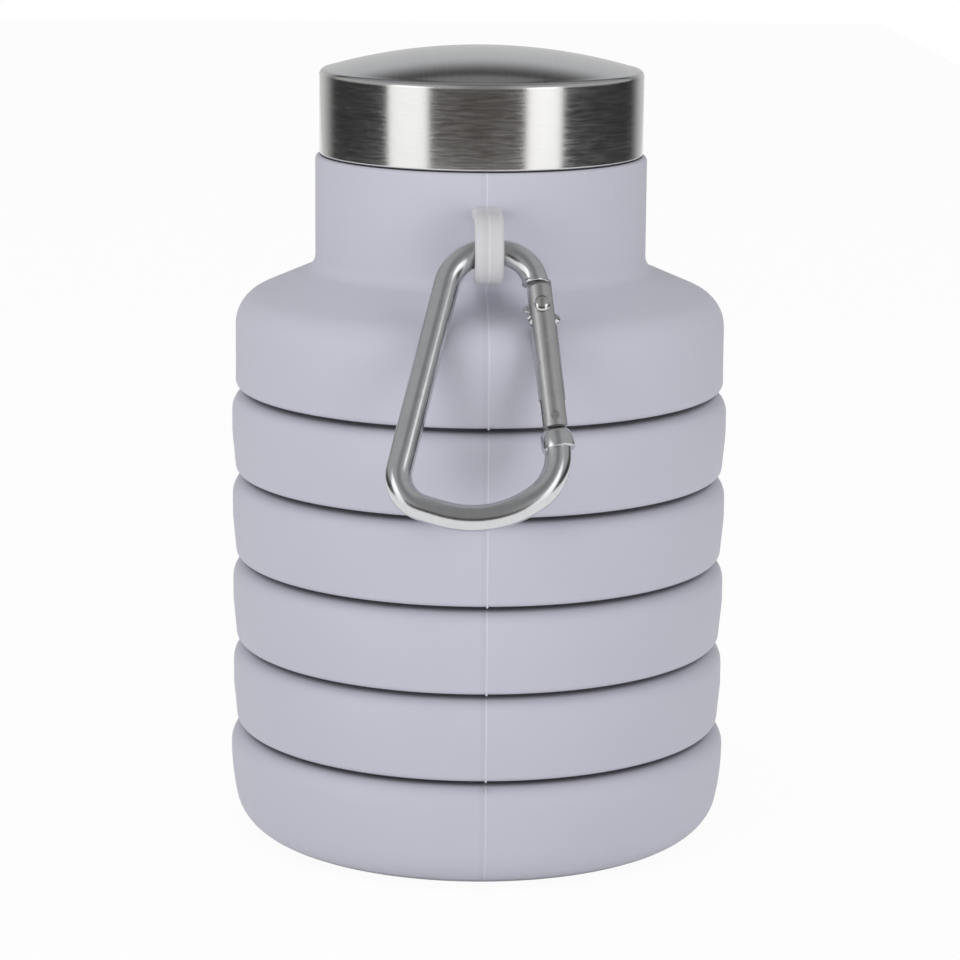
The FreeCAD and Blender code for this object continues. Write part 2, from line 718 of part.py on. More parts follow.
# Gate: a rod with a slot at each end, hollow for its spring.
slot_width = S.tongue_thick + S.slot_clear
slot_drop = S.tongue_drop + S.tongue_room
catch_slot = S.catch_high + S.gate_clear + S.slot_clear
head_width = S.rivet_shaft + S.rivet_lip
seat = S.gate_rod / 2 - S.rivet_sink
seat_middle = seat + through / 4
upper = doc.addObject("Part::Common", "gate_upper")
upper.Base = rod("gate_stub", gate_frame, 0, 0, -S.gate_above / 3, S.gate_rod,
                 S.gate_above * 4 / 3)
upper.Tool = rod("gate_end", gate_frame, 0, 0, 0, S.gate_above * 2, through, True)
lower = rod("gate_lower", gate_frame, 0, 0, -S.gate_below, S.gate_rod, S.gate_below)
gate = cut("gate", fuse("gate_solid", [lower, upper]), [
    block("hinge_slot", gate_frame, 0, 0, -slot_drop, through, slot_width,
          slot_drop + S.gate_above * 2),
    block("catch_slot", gate_frame, 0, 0, -S.gate_below - S.gate_clear, through, slot_width,
          catch_slot),
    rod("rivet_hole", gate_frame, 0, 0, 0, S.rivet_shaft, through, True),
    rod("front_seat", gate_frame, 0, -seat_middle, 0, head_width + S.rivet_sink, through / 2,
        True),
    rod("back_seat", gate_frame, 0, seat_middle, 0, head_width + S.rivet_sink, through / 2,
        True),
    rod("pin_hole", gate_frame, 0, 0, -pin_drop, S.pin_shaft, through, True),
    rod("spring_bore", gate_frame, 0, 0, -slot_drop - S.bore_depth, S.bore_drill,
        S.bore_depth + S.tongue_room / 2),
])

# Rivet through gate and tongue, with a domed head on either side.
ball = head_width * 0.68
heads = []
for side, name in ((-1, "front"), (1, "back")):
    head = doc.addObject("Part::Common", "rivet_head_" + name)
    dish = doc.addObject("Part::Sphere", "head_dome_" + name)
    bind(dish, "Radius", ball)
    dish.Placement = spot(gate_frame, 0, (seat + S.rivet_proud - ball) * side, 0)
    head.Base = rod("head_disc_" + name, gate_frame, 0, (seat + S.rivet_proud / 2) * side, 0,
                    head_width, S.rivet_proud, True)
    head.Tool = dish
    heads.append(head)
shaft = rod("rivet_body", gate_frame, 0, 0, 0, S.rivet_shaft, seat * 2, True)
rivet = fuse("hinge_rivet", heads + [shaft])

latch = rod("latch_pin", gate_frame, 0, 0, -pin_drop, S.pin_shaft,
            S.gate_rod - S.rivet_sink * 2, True)

# Plunger: pressed against the tongue by the spring, with a thinner nose.
tip = S.tongue_drop + S.plunger_gap
body_long = S.plunger_long - S.plunger_nose_long * 0.75
plunger_width = S.bore_drill - S.bore_clear
plunger = fuse("spring_plunger", [
    rod("plunger_nose", gate_frame, 0, 0, -tip - S.plunger_nose_long,
        plunger_width - S.plunger_step, S.plunger_nose_long),
    rod("plunger_body", gate_frame, 0, 0, -tip - S.plunger_long, plunger_width, body_long),
])

# Coil of the gate spring between the plunger and the bottom of its bore.
SPRING_TURNS = 6
END_PLAY = 0.02
spring_top = (tip + S.plunger_long).value + END_PLAY
spring_foot = (slot_drop + S.bore_depth).value - END_PLAY
wire = S.spring_wire.value
mean = (S.bore_drill - S.spring_room - S.spring_wire).value / 2
rise = spring_foot - spring_top - wire
coil_path = Part.makeHelix(rise / SPRING_TURNS, rise, mean)
section = Part.Wire(Part.makeCircle(wire / 2, V(mean, 0, 0), V(0, 1, 0)))
spring = doc.addObject("Part::Feature", "gate_spring")
spring.Shape = Part.Wire(coil_path.Edges).makePipeShell([section], True, True)
spring.Placement = spot(gate_frame, 0, 0, wire / 2 - spring_foot)

# ---------------------------------------------------------------- checks and export
NODES = ["base_cup", "band_4", "band_3", "band_2", "band_1", "shoulder"]
NODES += ["fold_web_%d" % number for number in range(1, BANDS + 2)]
NODES += ["neck_collar", "lid_gasket", "lid_liner", "lid_shell", "carabiner_loop"]
NODES += ["hook_frame", "gate", "hinge_rivet", "latch_pin", "gate_spring", "spring_plunger"]

doc.recompute()
for item in doc.Objects:
    if "Invalid" in item.State or "Error" in item.State:
        raise RuntimeError("%s did not recompute: %s" % (item.Label, item.State))
    if item.isDerivedFrom("Sketcher::SketchObject") and item.solve() != 0:
        raise RuntimeError("%s is not solved" % item.Label)

os.makedirs("parts", exist_ok=True)
for name in NODES:
    node = doc.getObject(name)
    node.Label = name
    shape = node.Shape
    if shape.isNull() or not shape.isValid() or len(shape.Solids) != 1:
        raise RuntimeError("%s is not one sound solid" % name)
    shape.exportStep("parts/%s.step" % name)
    print("%-16s %9.1f mm3  z %.2f to %.2f" % (
        name, shape.Volume, shape.BoundBox.ZMin, shape.BoundBox.ZMax))
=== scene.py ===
import math

import bmesh
import bpy
from mathutils import Matrix, Vector


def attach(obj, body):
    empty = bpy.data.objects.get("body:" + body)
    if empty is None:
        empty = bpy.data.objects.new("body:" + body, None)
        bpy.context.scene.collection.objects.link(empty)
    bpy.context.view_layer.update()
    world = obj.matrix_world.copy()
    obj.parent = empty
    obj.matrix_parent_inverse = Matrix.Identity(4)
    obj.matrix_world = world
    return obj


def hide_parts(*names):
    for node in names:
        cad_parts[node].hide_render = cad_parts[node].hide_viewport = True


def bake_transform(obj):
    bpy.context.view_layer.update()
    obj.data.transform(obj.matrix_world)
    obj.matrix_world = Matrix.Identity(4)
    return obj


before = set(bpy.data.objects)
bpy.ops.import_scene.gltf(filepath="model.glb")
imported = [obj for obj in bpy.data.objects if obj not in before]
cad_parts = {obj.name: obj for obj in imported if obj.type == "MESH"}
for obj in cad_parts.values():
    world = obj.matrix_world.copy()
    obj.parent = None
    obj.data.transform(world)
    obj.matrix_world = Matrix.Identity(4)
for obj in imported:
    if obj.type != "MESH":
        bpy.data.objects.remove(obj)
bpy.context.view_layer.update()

scene = bpy.context.scene
scene.view_settings.view_transform = "Standard"

# ------------------------------------------------------------------ camera
# Stands half a metre in front of the bottle and a little above its lid, looking slightly down,
# with a long lens and a small roll.
CAMERA_BACK = 0.520
CAMERA_HEIGHT = 0.1618
CAMERA_TURN = math.radians(2.15)
CAMERA_AIM = math.radians(2.173)
CAMERA_DOWN = math.radians(11.8)
CAMERA_ROLL = math.radians(-0.45)
CAMERA_LENS = 131.7
CAMERA_SENSOR = 36.0

camera_data = bpy.data.cameras.new("camera")
camera_data.lens = CAMERA_LENS
camera_data.sensor_width = CAMERA_SENSOR
camera_data.clip_start = 0.01
camera = bpy.data.objects.new("camera", camera_data)
scene.collection.objects.link(camera)
look = Vector((math.sin(CAMERA_AIM) * math.cos(CAMERA_DOWN),
               math.cos(CAMERA_AIM) * math.cos(CAMERA_DOWN), -math.sin(CAMERA_DOWN)))
across = look.cross(Vector((0, 0, 1))).normalized()
upward = across.cross(look)
rolled = Matrix.Rotation(CAMERA_ROLL, 3, look)
across, upward = rolled @ across, rolled @ upward
camera.matrix_world = Matrix((
    (across.x, upward.x, -look.x, -CAMERA_BACK * math.sin(CAMERA_TURN)),
    (across.y, upward.y, -look.y, -CAMERA_BACK * math.cos(CAMERA_TURN)),
    (across.z, upward.z, -look.z, CAMERA_HEIGHT),
    (0, 0, 0, 1)))
scene.camera = camera

# ------------------------------------------------------------------ floor
# A pale paper-covered studio table, as wide as the view needs. It shows white to the camera and
# in the metal's reflections, and keeps a trace of the bottle's shadow.
TABLE = (-0.30, 0.30, -0.30, 1.60)
TABLE_DROP = 0.0002
TABLE_WHITE = 0.92
TABLE_SHOWN = 0.95


def node_math(tree, operation, first, second=None, third=None):
    """A Math node fed by sockets or numbers; returns its output."""
    node = tree.nodes.new("ShaderNodeMath")
    node.operation = operation
    for index, value in enumerate((first, second, third)):
        if value is None:
            continue
        if isinstance(value, (int, float)):
            node.inputs[index].default_value = value
        else:
            tree.links.new(value, node.inputs[index])
    return node.outputs[0]


table_mesh = bpy.data.meshes.new("table")
left, right, near, far = TABLE
table_mesh.from_pydata([(left, near, -TABLE_DROP), (right, near, -TABLE_DROP),
                        (right, far, -TABLE_DROP), (left, far, -TABLE_DROP)], [], [(0, 1, 2, 3)])
table = bpy.data.objects.new("table", table_mesh)
scene.collection.objects.link(table)
paper = bpy.data.materials.new("table_paper")
paper.use_nodes = True
nodes, links = paper.node_tree.nodes, paper.node_tree.links
nodes.clear()
paper_out = nodes.new("ShaderNodeOutputMaterial")
paper_mix = nodes.new("ShaderNodeMixShader")
paper_base = nodes.new("ShaderNodeBsdfDiffuse")
paper_base.inputs["Color"].default_value = (TABLE_WHITE, TABLE_WHITE, TABLE_WHITE, 1)
paper_glow = nodes.new("ShaderNodeEmission")
paper_rays = nodes.new("ShaderNodeLightPath")
paper_seen = node_math(paper.node_tree, "MAXIMUM", paper_rays.outputs["Is Camera Ray"],
                       paper_rays.outputs["Is Glossy Ray"])
links.new(node_math(paper.node_tree, "MULTIPLY", paper_seen, TABLE_SHOWN), paper_mix.inputs[0])
links.new(paper_base.outputs[0], paper_mix.inputs[1])
links.new(paper_glow.outputs[0], paper_mix.inputs[2])
links.new(paper_mix.outputs[0], paper_out.inputs["Surface"])
table_mesh.materials.append(paper)

# ------------------------------------------------------------------ studio light
# Even daylight for the object, and for its reflections a dim room with a lit white wall behind
# the table and a grey ceiling that comes down to the floor lamps. Two softboxes beside the camera
# draw the bright bars on the steel lid; three more lamps only fill.
DAYLIGHT = 0.455
ROOM_TINT = (1.0, 0.86, 0.80, 1)
ROOM_FRONT = 0.074
ROOM_SIDES = 0.034
ROOM_DEEP = (0.50, 0.78)
WALL_LIGHT = 0.62
WALL_TOP_LIGHT = 0.12
WALL_DEEP = (0.58, 0.95)
WALL_HIGH = (0.35, 0.54)
UPPER_FRONT = 0.25
UPPER_SIDES = 0.42
UPPER_WIDE = (0.10, 0.42)
UPPER_DEEP = (0.80, 0.60)
UPPER_HIGH = (0.04, 0.22)
CORNICE_LIGHT = 0.28
CORNICE_HIGH = (0.518, 0.565)
CORNICE_DEEP = (0.30, 0.60)
CEILING_LIGHT = 0.36
CEILING_HIGH = (0.62, 0.76)
CEILING_DEEP = (0.0, 0.30)
GREY_LEVEL = (ROOM_FRONT, 0.16)
GREY_DEEP = (0.85, 0.65)
LAMP_AIM = Vector((0, 0, 0.10))

world = bpy.data.worlds.new("studio")
scene.world = world
world.use_nodes = True
room_tree = world.node_tree
nodes, links = room_tree.nodes, room_tree.links
nodes.clear()


def node_ramp(tree, value, span, at_low=0.0, at_high=1.0, smooth=True):
    """A Map Range node over a span, the levels sockets or numbers; returns its output."""
    node = tree.nodes.new("ShaderNodeMapRange")
    node.interpolation_type = "SMOOTHSTEP" if smooth else "LINEAR"
    node.inputs["From Min"].default_value, node.inputs["From Max"].default_value = span
    for label, level in (("To Min", at_low), ("To Max", at_high)):
        if isinstance(level, (int, float)):
            node.inputs[label].default_value = level
        else:
            tree.links.new(level, node.inputs[label])
    tree.links.new(value, node.inputs["Value"])
    return node.outputs[0]


def node_scaled(tree, color, factor):
    """A colour, socket or value, scaled by a factor socket; returns the result."""
    node = tree.nodes.new("ShaderNodeVectorMath")
    node.operation = "SCALE"
    if isinstance(color, tuple):
        node.inputs[0].default_value = color
    else:
        tree.links.new(color, node.inputs[0])
    tree.links.new(factor, node.inputs["Scale"])
    return node.outputs[0]


def node_mix(tree, factor, first, second):
    """Mixes two colours, each a socket or a value; returns the result."""
    node = tree.nodes.new("ShaderNodeMix")
    node.data_type = "RGBA"
    tree.links.new(factor, node.inputs["Factor"])
    for label, value in (("A", first), ("B", second)):
        if isinstance(value, tuple):
            node.inputs[label].default_value = value
        else:
            tree.links.new(value, node.inputs[label])
    return node.outputs["Result"]


def room_part(operation, first, second):
    """Joins two parts of the room's light."""
    return node_math(room_tree, operation, first, second)


where = nodes.new("ShaderNodeTexCoord")
split = nodes.new("ShaderNodeSeparateXYZ")
links.new(where.outputs["Generated"], split.inputs[0])
deep, high = split.outputs["Y"], split.outputs["Z"]
aside = node_math(room_tree, "ABSOLUTE", split.outputs["X"])
away = node_math(room_tree, "ABSOLUTE", deep)
wall = room_part("MULTIPLY", node_ramp(room_tree, deep, WALL_DEEP, 0.0, WALL_LIGHT),
                 node_ramp(room_tree, high, WALL_HIGH, 1.0, WALL_TOP_LIGHT))
room = node_ramp(room_tree, away, ROOM_DEEP, ROOM_SIDES, ROOM_FRONT)
upper = room_part("MULTIPLY", node_ramp(room_tree, deep, UPPER_DEEP),
                  node_ramp(room_tree, high, UPPER_HIGH))
upper = room_part("MULTIPLY", upper,
                  node_ramp(room_tree, aside, UPPER_WIDE, UPPER_FRONT, UPPER_SIDES))
room = room_part("MAXIMUM", room, upper)
cornice = room_part("MULTIPLY", node_ramp(room_tree, high, CORNICE_HIGH, 0.0, CORNICE_LIGHT),
                    node_ramp(room_tree, deep, CORNICE_DEEP))
ceiling = room_part("MULTIPLY", node_ramp(room_tree, high, CEILING_HIGH, 0.0, CEILING_LIGHT),
                    node_ramp(room_tree, deep, CEILING_DEEP))
level = room_part("MAXIMUM", room_part("MAXIMUM", wall, room),
                  room_part("MAXIMUM", cornice, ceiling))
grey = room_part("MAXIMUM", node_ramp(room_tree, level, GREY_LEVEL),
                 node_ramp(room_tree, away, GREY_DEEP))
reflected = node_scaled(room_tree, node_mix(room_tree, grey, ROOM_TINT, (1, 1, 1, 1)), level)
rays = nodes.new("ShaderNodeLightPath")
seen = node_mix(room_tree, rays.outputs["Is Glossy Ray"], (DAYLIGHT, DAYLIGHT, DAYLIGHT, 1),
                reflected)
seen = node_mix(room_tree, rays.outputs["Is Camera Ray"], seen, (1, 1, 1, 1))
sky = nodes.new("ShaderNodeBackground")
sky_out = nodes.new("ShaderNodeOutputWorld")
links.new(seen, sky.inputs["Color"])
links.new(sky.outputs[0], sky_out.inputs["Surface"])

# Each lamp's turn and rise seen from the bottle in degrees, distance, width, height and power.
LAMPS = (("softbox_left", -54.7, -3, 0.90, 0.50, 1.10, 1.98),
         ("softbox_right", 42.4, -3, 0.90, 0.425, 1.10, 1.76),
         ("fill_left", -52, 2, 1.00, 0.60, 0.60, 2.75),
         ("fill_right", 45, 2, 1.00, 0.60, 0.60, 2.4),
         ("fill_top", -20, 76, 1.00, 0.36, 0.36, 1.7))

for name, turn, rise, distance, wide, tall, power in LAMPS:
    lamp = bpy.data.lights.new(name, "AREA")
    lamp.shape = "RECTANGLE"
    lamp.size = wide
    lamp.size_y = tall
    lamp.energy = power
    box = bpy.data.objects.new(name, lamp)
    scene.collection.objects.link(box)
    turn, rise = math.radians(turn), math.radians(rise)
    aim = Vector((math.sin(turn) * math.cos(rise), -math.cos(turn) * math.cos(rise),
                  math.sin(rise)))
    box.location = LAMP_AIM + aim * distance
    box.rotation_euler = (-aim).to_track_quat("-Z", "Y").to_euler()
    box.visible_glossy = name.startswith("softbox")

# ------------------------------------------------------------------ base cup
# The bottom of the moulding: a thick cup on a flat pad, with the lowest fold's stiff cone
# rising from its top edge. Matt silicone, with the mould's parting line down front and back.
MM = 0.001
TURN_STEPS = 288
NUB = 0.35
NUB_SHAPE = (0.6, 0.8, 1.2, 1)
ON_AXIS = 1e-6


def arc(start, end, radius, steps=12):
    """Points of an arc that bulges to the right of the way from start to end."""
    start, end = Vector(start), Vector(end)
    way = end - start
    reach = math.sqrt(radius * radius - way.length_squared / 4)
    centre = (start + end) / 2 + Vector((-way.y, way.x)).normalized() * reach
    first, bend = start - centre, (start - centre).angle(end - centre)
    return [(centre.x + first.x * math.cos(bend * k / steps) - first.y * math.sin(bend * k / steps),
             centre.y + first.x * math.sin(bend * k / steps) + first.y * math.cos(bend * k / steps))
            for k in range(steps + 1)]


def rounded(steps, fine=None, turns=8):
    """Points along a profile; a third number rounds that corner."""
    points = []
    count = len(steps)
    for i, step in enumerate(steps):
        here = Vector(step[:2])
        if len(step) < 3:
            points.append(here)
            continue
        back = (Vector(steps[i - 1][:2]) - here).normalized()
        ahead = (Vector(steps[(i + 1) % count][:2]) - here).normalized()
        half = back.angle(ahead) / 2
        run = step[2] / math.tan(half)
        centre = here + (back + ahead).normalized() * step[2] / math.sin(half)
        first = here + back * run - centre
        last = here + ahead * run - centre
        bend = first.angle_signed(last)
        for k in range(turns + 1):
            turn = -bend * k / turns
            c, s = math.cos(turn), math.sin(turn)
            points.append(centre + Vector((first.x * c - first.y * s, first.x * s + first.y * c)))
    if not fine:
        return points
    dense = []
    for i, here in enumerate(points):
        after = points[(i + 1) % len(points)]
        parts = max(1, math.ceil((after - here).length / fine))
        dense += [here.lerp(after, k / parts) for k in range(parts)]
    return dense


def finished(mesh, name, sharp=35):
    """Makes a smooth-shaded piece of a mesh under construction."""
    bmesh.ops.recalc_face_normals(mesh, faces=mesh.faces)
    data = bpy.data.meshes.new(name)
    mesh.to_mesh(data)
    mesh.free()
    data.polygons.foreach_set("use_smooth", [True] * len(data.polygons))
    data.set_sharp_from_angle(angle=math.radians(sharp))
    piece = bpy.data.objects.new(name, data)
    scene.collection.objects.link(piece)
    return piece


def turned(name, steps, fine=None, sharp=35, nubs=()):
    """A closed profile in mm, turned about the bottle's axis; nubs of flash at (radius, z)."""
    profile = rounded(steps, fine)
    mesh = bmesh.new()
    for out, high in nubs:
        for side in (-1, 1):
            spot = Matrix.Translation(Vector((0, side * out, high)) * MM)
            bmesh.ops.create_uvsphere(mesh, u_segments=16, v_segments=10, radius=NUB * MM,
                                      matrix=spot @ Matrix.Diagonal(NUB_SHAPE))
    rings = []
    for point in profile:
        if point.x < ON_AXIS:
            rings.append([mesh.verts.new((0, 0, point.y * MM))])
            continue
        rings.append([mesh.verts.new((
            point.x * MM * math.cos(math.tau * k / TURN_STEPS),
            point.x * MM * math.sin(math.tau * k / TURN_STEPS),
            point.y * MM)) for k in range(TURN_STEPS)])
    for i, low in enumerate(rings):
        high = rings[(i + 1) % len(rings)]
        if len(low) == 1 and len(high) == 1:
            continue
        for k in range(TURN_STEPS):
            n = (k + 1) % TURN_STEPS
            if len(low) == 1:
                mesh.faces.new((low[0], high[n], high[k]))
            elif len(high) == 1:
                mesh.faces.new((low[k], low[n], high[0]))
            else:
                mesh.faces.new((low[k], low[n], high[n], high[k]))
    return finished(mesh, name, sharp)


def dress(piece, material):
    """Gives a piece one material."""
    piece.data.materials.clear()
    piece.data.materials.append(material)


def new_group(name, inputs, outputs):
    """An empty shader node group with its sockets."""
    group = bpy.data.node_groups.new(name, "ShaderNodeTree")
    for label, kind, value in inputs:
        socket = group.interface.new_socket(label, in_out="INPUT", socket_type=kind)
        socket.default_value = value
    for label, kind in outputs:
        group.interface.new_socket(label, in_out="OUTPUT", socket_type=kind)
    return group, group.nodes.new("NodeGroupInput"), group.nodes.new("NodeGroupOutput")


def place_group(tree, group, **values):
    """Puts a node group in a material with its own values."""
    node = tree.nodes.new("ShaderNodeGroup")
    node.node_tree = group
    for label, value in values.items():
        node.inputs[label.replace("_", " ")].default_value = value
    return node


def noise(tree, vector, scale, detail=2.0, rough=0.5):
    """A Noise texture on a vector; returns its factor."""
    node = tree.nodes.new("ShaderNodeTexNoise")
    node.inputs["Scale"].default_value = scale
    node.inputs["Detail"].default_value = detail
    node.inputs["Roughness"].default_value = rough
    tree.links.new(vector, node.inputs["Vector"])
    return node.outputs["Fac"]


def bumped(tree, height, strength, depth, under=None):
    """A Bump node over another normal; returns its normal."""
    node = tree.nodes.new("ShaderNodeBump")
    node.inputs["Strength"].default_value = strength
    node.inputs["Distance"].default_value = depth
    tree.links.new(height, node.inputs["Height"])
    if under is not None:
        tree.links.new(under, node.inputs["Normal"])
    return node.outputs["Normal"]


# Parting line: a hair-thin raised seam where the two mould halves met, in the plane x = 0. Its mask
# raises the ridge and takes a lighter colour as a painted highlight, and a strip of painted shade
# runs along one side.
SEAM_WANDER_SCALE = 90.0
SEAM_CORE = 0.25
STRIP_ASIDE = 0.00055
STRIP_CORE = 0.0001

parting_line, inside, outside = new_group(
    "parting_line",
    [("Width", "NodeSocketFloat", 0.00016), ("Wander", "NodeSocketFloat", 0.00001)],
    [("Mask", "NodeSocketFloat"), ("Strip", "NodeSocketFloat")])
place = parting_line.nodes.new("ShaderNodeTexCoord")
axes = parting_line.nodes.new("ShaderNodeSeparateXYZ")
parting_line.links.new(place.outputs["Object"], axes.inputs[0])
sway = noise(parting_line, place.outputs["Object"], SEAM_WANDER_SCALE)
sway = node_math(parting_line, "MULTIPLY_ADD", sway, inside.outputs["Wander"], axes.outputs["X"])
off = node_math(parting_line, "DIVIDE", node_math(parting_line, "ABSOLUTE", sway),
                inside.outputs["Width"])
parting_line.links.new(node_ramp(parting_line, off, (1.0, SEAM_CORE)), outside.inputs["Mask"])
# Painted shade: a faint darker strip along one side of the seam, in colour only.
beside = node_math(parting_line, "ABSOLUTE",
                   node_math(parting_line, "ADD", sway, STRIP_ASIDE))
parting_line.links.new(node_ramp(parting_line, beside, (STRIP_ASIDE, STRIP_CORE)),
                       outside.inputs["Strip"])

# Soft skin: fine grain and faint clouding of moulded silicone.
CLOUD_SCALE = 45.0
SPECK_SCALE = 900.0
GRAIN_SCALE = 3600.0
ROUGH_SWING = 0.16

soft_skin, inside, outside = new_group(
    "soft_skin",
    [("Color", "NodeSocketColor", (0.5, 0.5, 0.55, 1)), ("Clouding", "NodeSocketFloat", 0.05),
     ("Roughness", "NodeSocketFloat", 0.6)],
    [("Color", "NodeSocketColor"), ("Roughness", "NodeSocketFloat"), ("Height", "NodeSocketFloat")])
place = soft_skin.nodes.new("ShaderNodeTexCoord")
cloud = noise(soft_skin, place.outputs["Object"], CLOUD_SCALE, 4.0, 0.6)
grain = noise(soft_skin, place.outputs["Object"], GRAIN_SCALE, 2.0, 0.6)
speck = noise(soft_skin, place.outputs["Object"], SPECK_SCALE, 3.0, 0.7)
shade = node_math(soft_skin, "MULTIPLY_ADD", cloud, inside.outputs["Clouding"], 1.0)
half = node_math(soft_skin, "MULTIPLY", inside.outputs["Clouding"], 0.5)
shade = node_math(soft_skin, "SUBTRACT", shade, half)
soft_skin.links.new(node_scaled(soft_skin, inside.outputs["Color"], shade),
                    outside.inputs["Color"])
rough = node_math(soft_skin, "MULTIPLY_ADD", speck, ROUGH_SWING, inside.outputs["Roughness"])
rough = node_math(soft_skin, "SUBTRACT", rough, ROUGH_SWING / 2)
soft_skin.links.new(rough, outside.inputs["Roughness"])
soft_skin.links.new(node_math(soft_skin, "ADD", grain, speck), outside.inputs["Height"])

# Painted shade: an ambient occlusion node darkens the colour inside tight folds and close gaps.
CREASE_DEPTH = 0.0025
CREASE_SHADE = 0.12
CREASE_OPEN = (0.06, 0.50)
CREASE_RAYS = 8

painted_crease_shade, inside, outside = new_group(
    "painted_crease_shade",
    [("Color", "NodeSocketColor", (0.5, 0.5, 0.55, 1)), ("Depth", "NodeSocketFloat", 0.0025),
     ("Shade", "NodeSocketFloat", 0.12)],
    [("Color", "NodeSocketColor")])
nearness = painted_crease_shade.nodes.new("ShaderNodeAmbientOcclusion")
nearness.samples = CREASE_RAYS
painted_crease_shade.links.new(inside.outputs["Depth"], nearness.inputs["Distance"])
openness = node_ramp(painted_crease_shade, nearness.outputs["AO"], CREASE_OPEN, inside.outputs["Shade"], 1.0,
                     smooth=False)
painted_crease_shade.links.new(node_scaled(painted_crease_shade, inside.outputs["Color"], openness),
                  outside.inputs["Color"])

# The strip of painted shade beside the seam darkens the colour by this much.
PAINTED_STRIP_SHADE = 0.05
SKIN_GRAIN = (0.10, 0.00005)
SEAM_RIDGE = (0.35, 0.00008)


def silicone(name, color, roughness, seam_highlight_color, seam_width=0.00014):
    """Matt moulded silicone with its grain and parting line, a painted highlight on that line,
    painted shade beside it and painted shade in its folds.
    """
    material = bpy.data.materials.new(name)
    material.use_nodes = True
    tree = material.node_tree
    shader = tree.nodes["Principled BSDF"]
    skin = place_group(tree, soft_skin, Color=(*color, 1), Roughness=roughness)
    seam = place_group(tree, parting_line, Width=seam_width)
    # Painted highlight on the seam line and painted shade on the strip beside it, in the base
    # colour.
    strip_shaded = node_scaled(tree, skin.outputs["Color"],
                      node_math(tree, "MULTIPLY_ADD", seam.outputs["Strip"], -PAINTED_STRIP_SHADE, 1.0))
    # Painted shade: the colour is darkened where ambient occlusion finds the folds closed in.
    fold = place_group(tree, painted_crease_shade, Depth=CREASE_DEPTH, Shade=CREASE_SHADE)
    tree.links.new(node_mix(tree, seam.outputs["Mask"], strip_shaded, (*seam_highlight_color, 1)),
                   fold.inputs["Color"])
    tree.links.new(fold.outputs["Color"], shader.inputs["Base Color"])
    tree.links.new(skin.outputs["Roughness"], shader.inputs["Roughness"])
    fine = bumped(tree, skin.outputs["Height"], *SKIN_GRAIN)
    tree.links.new(bumped(tree, seam.outputs["Mask"], *SEAM_RIDGE, fine),
                   shader.inputs["Normal"])
    shader.inputs["Specular IOR Level"].default_value = 0.35
    shader.inputs["Sheen Weight"].default_value = 0.08
    shader.inputs["Sheen Roughness"].default_value = 0.5
    return material


LILAC = (0.545, 0.545, 0.625)
# The seam colour is lighter than the silicone: a painted highlight along the ridge.
LILAC_SEAM_HIGHLIGHT = (0.640, 0.640, 0.705)
lilac_silicone = silicone("lilac_silicone", LILAC, roughness=0.58, seam_highlight_color=LILAC_SEAM_HIGHLIGHT)

FIRST_LIP = 16.5
BAND_PITCH = 12.87
FOLD_SLIT = 0.6
TOP_ROUND = 3.0
CONE_FOOT = 33.3
CONE_ROUND = 0.5
CONE_RISE = 8.0
CONE_WALL = 1.3
WAIST = 30.0
WALL_INSIDE = 35.1
SHELF_DROP = 2.4
SHELF_ROUND = 1.0
LIP_INSIDE = 33.9
LIP_THICK = 1.0
CRISP = 0.2

BASE_RADIUS = 37.5
BASE_FLOOR = 3.3
GROOVE_DEEP = 0.8
GROOVE_FROM, GROOVE_TO = 12.0, 18.8
PAD_RADIUS = 30.6
HEEL = (36.75, 5.3)
HEEL_ROUND = 6.4
SIDE_TOP = 12.8
SIDE_ROUND = 38.0
BOWL_SIDE = (WALL_INSIDE, 10.0, 14.0)
BOWL_FOOT = (32.3, BASE_FLOOR, 5.5)
BASE_NUB = (36.6, FIRST_LIP - FOLD_SLIT - 0.8)


def cone(top):
    """The stiff cone that leads from a band's top edge in to the fold's waist."""
    return [(CONE_FOOT, top, CONE_ROUND), (WAIST, top + CONE_RISE),
            (WAIST - CONE_WALL, top + CONE_RISE), (CONE_FOOT - CONE_WALL, top, CONE_ROUND)]


base_top = FIRST_LIP - FOLD_SLIT
base_cup = turned("base_cup_silicone", [
    (0, 0), (GROOVE_FROM, 0, CRISP), (GROOVE_FROM + GROOVE_DEEP, GROOVE_DEEP),
    (GROOVE_TO - GROOVE_DEEP, GROOVE_DEEP), (GROOVE_TO, 0, CRISP),
] + arc((PAD_RADIUS, 0), HEEL, HEEL_ROUND) + arc(HEEL, (BASE_RADIUS, SIDE_TOP), SIDE_ROUND)[1:] + [
    (BASE_RADIUS, base_top, TOP_ROUND),
] + cone(base_top) + [
    (WALL_INSIDE, base_top - SHELF_DROP, SHELF_ROUND), BOWL_SIDE, BOWL_FOOT, (0, BASE_FLOOR)],
    nubs=[BASE_NUB])
dress(base_cup, lilac_silicone)
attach(base_cup, "base")
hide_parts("base_cup")

# ------------------------------------------------------------------ bands
# Four thick silicone hoops of the same moulding, which stack when the bottle is folded. Each has
# a soft top edge and draws in slightly to its lower lip.
BAND_RADIUS = 37.1
BAND_BELLY = 6.0
LIP_RADIUS = 36.55
LIP_ROUND = 1.0
BELLY_ROUND = 12.0
NUB_IN = 0.25
NUB_UP = 0.3

for number in (4, 3, 2, 1):
    lip = FIRST_LIP + BAND_PITCH * (4 - number)
    top = lip + BAND_PITCH - FOLD_SLIT
    band = turned("band_%d_silicone" % number, [
        (LIP_INSIDE, lip, CRISP), (LIP_RADIUS, lip, LIP_ROUND),
        (BAND_RADIUS, lip + BAND_BELLY, BELLY_ROUND), (BAND_RADIUS, top, TOP_ROUND),
    ] + cone(top) + [
        (WALL_INSIDE, top - SHELF_DROP, SHELF_ROUND), (WALL_INSIDE, lip + LIP_THICK),
        (LIP_INSIDE, lip + LIP_THICK, CRISP)],
        nubs=[(LIP_RADIUS - NUB_IN, lip + NUB_UP)])
    dress(band, lilac_silicone)
    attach(band, "band_%d_body" % number)
    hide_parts("band_%d" % number)

